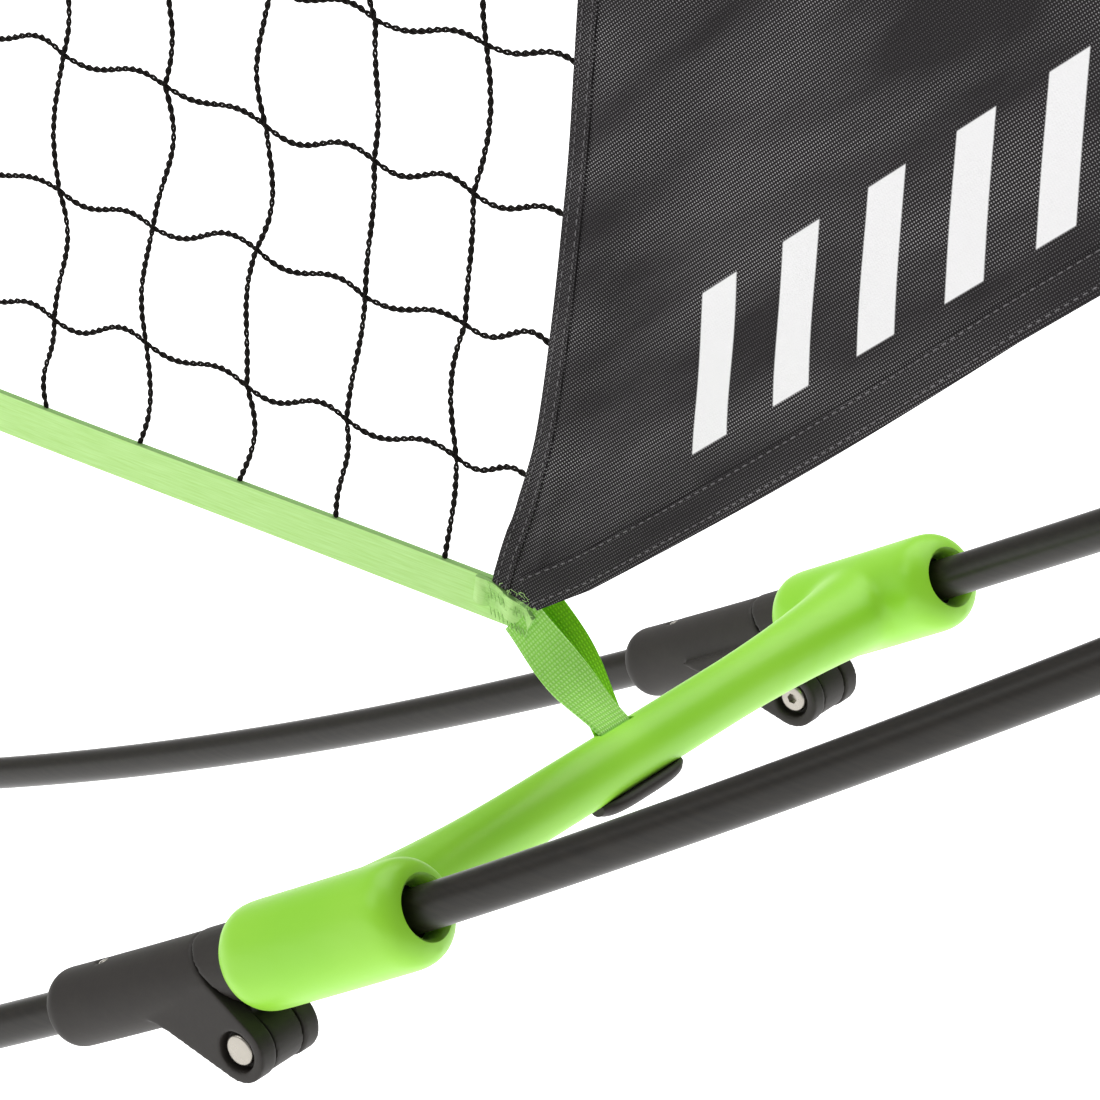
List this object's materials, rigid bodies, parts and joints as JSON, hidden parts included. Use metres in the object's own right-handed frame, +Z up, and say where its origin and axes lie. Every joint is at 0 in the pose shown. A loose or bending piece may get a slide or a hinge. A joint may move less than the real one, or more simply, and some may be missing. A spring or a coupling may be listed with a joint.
{
  "type": "pitch back rebounder",
  "caption": "Low free-standing net on a double bow frame of elastic rods, with end wings that fold under on offset hinges.",
  "frame": {"origin": "on the ground under the middle of the net, centre of the bounding box's bottom", "axes": "+X along the net, +Y across it, +Z up"},
  "size_m": [3.389, 0.3452, 0.9051],
  "materials": {
    "rod_fibreglass": "pultruded fibreglass rod with a smooth charcoal coating",
    "hinge_nylon": "moulded black nylon, fine matt texture",
    "bar_nylon": "moulded bright green nylon, satin",
    "shoe_rubber": "matt black rubber",
    "bright_steel": "bright nickel-plated steel",
    "net_cord": "black knitted polyester cord",
    "green_webbing": "light green ribbed polyester webbing",
    "black_polyester": "plain-woven black polyester with double-stitched hems"
  },
  "bodies": {
    "base": {"centre_bar": "bar_nylon", "near_shoe": "shoe_rubber", "far_shoe": "shoe_rubber", "netting": "net_cord", "bottom_band": "green_webbing", "top_band": "green_webbing", "left_near_base_rod": "rod_fibreglass", "left_near_fork": "hinge_nylon", "left_near_hinge_nut": "bright_steel", "left_near_hinge_screw": "bright_steel", "left_far_base_rod": "rod_fibreglass", "left_far_fork": "hinge_nylon", "left_far_hinge_nut": "bright_steel", "left_far_hinge_screw": "bright_steel", "right_near_base_rod": "rod_fibreglass", "right_near_fork": "hinge_nylon", "right_near_hinge_nut": "bright_steel", "right_near_hinge_screw": "bright_steel", "right_far_base_rod": "rod_fibreglass", "right_far_fork": "hinge_nylon", "right_far_hinge_nut": "bright_steel", "right_far_hinge_screw": "bright_steel"},
    "left_wing": {"left_cross_bar": "bar_nylon", "left_end_panel": "black_polyester", "left_corner_strap": "green_webbing", "left_toggle": "hinge_nylon", "left_top_band": "green_webbing", "left_tip_strap": "green_webbing", "left_tip": "hinge_nylon", "left_tip_rivet": "bright_steel", "left_near_wing_rod": "rod_fibreglass", "left_near_tongue": "hinge_nylon", "left_far_wing_rod": "rod_fibreglass", "left_far_tongue": "hinge_nylon"},
    "right_wing": {"right_cross_bar": "bar_nylon", "right_end_panel": "black_polyester", "right_corner_strap": "green_webbing", "right_toggle": "hinge_nylon", "right_top_band": "green_webbing", "right_tip_strap": "green_webbing", "right_tip": "hinge_nylon", "right_tip_rivet": "bright_steel", "right_near_wing_rod": "rod_fibreglass", "right_near_tongue": "hinge_nylon", "right_far_wing_rod": "rod_fibreglass", "right_far_tongue": "hinge_nylon"}
  },
  "joints": [
    {"name": "right_wing_fold", "type": "hinge", "parent": "base", "child": "right_wing", "pos_m": [1.01883, 0, 0.33435], "axis": [0, 1, 0], "range_deg": [0, 170]},
    {"name": "left_wing_fold", "type": "hinge", "parent": "base", "child": "left_wing", "pos_m": [-1.01883, 0, 0.33435], "axis": [0, -1, 0], "range_deg": [0, 170]}
  ]
}
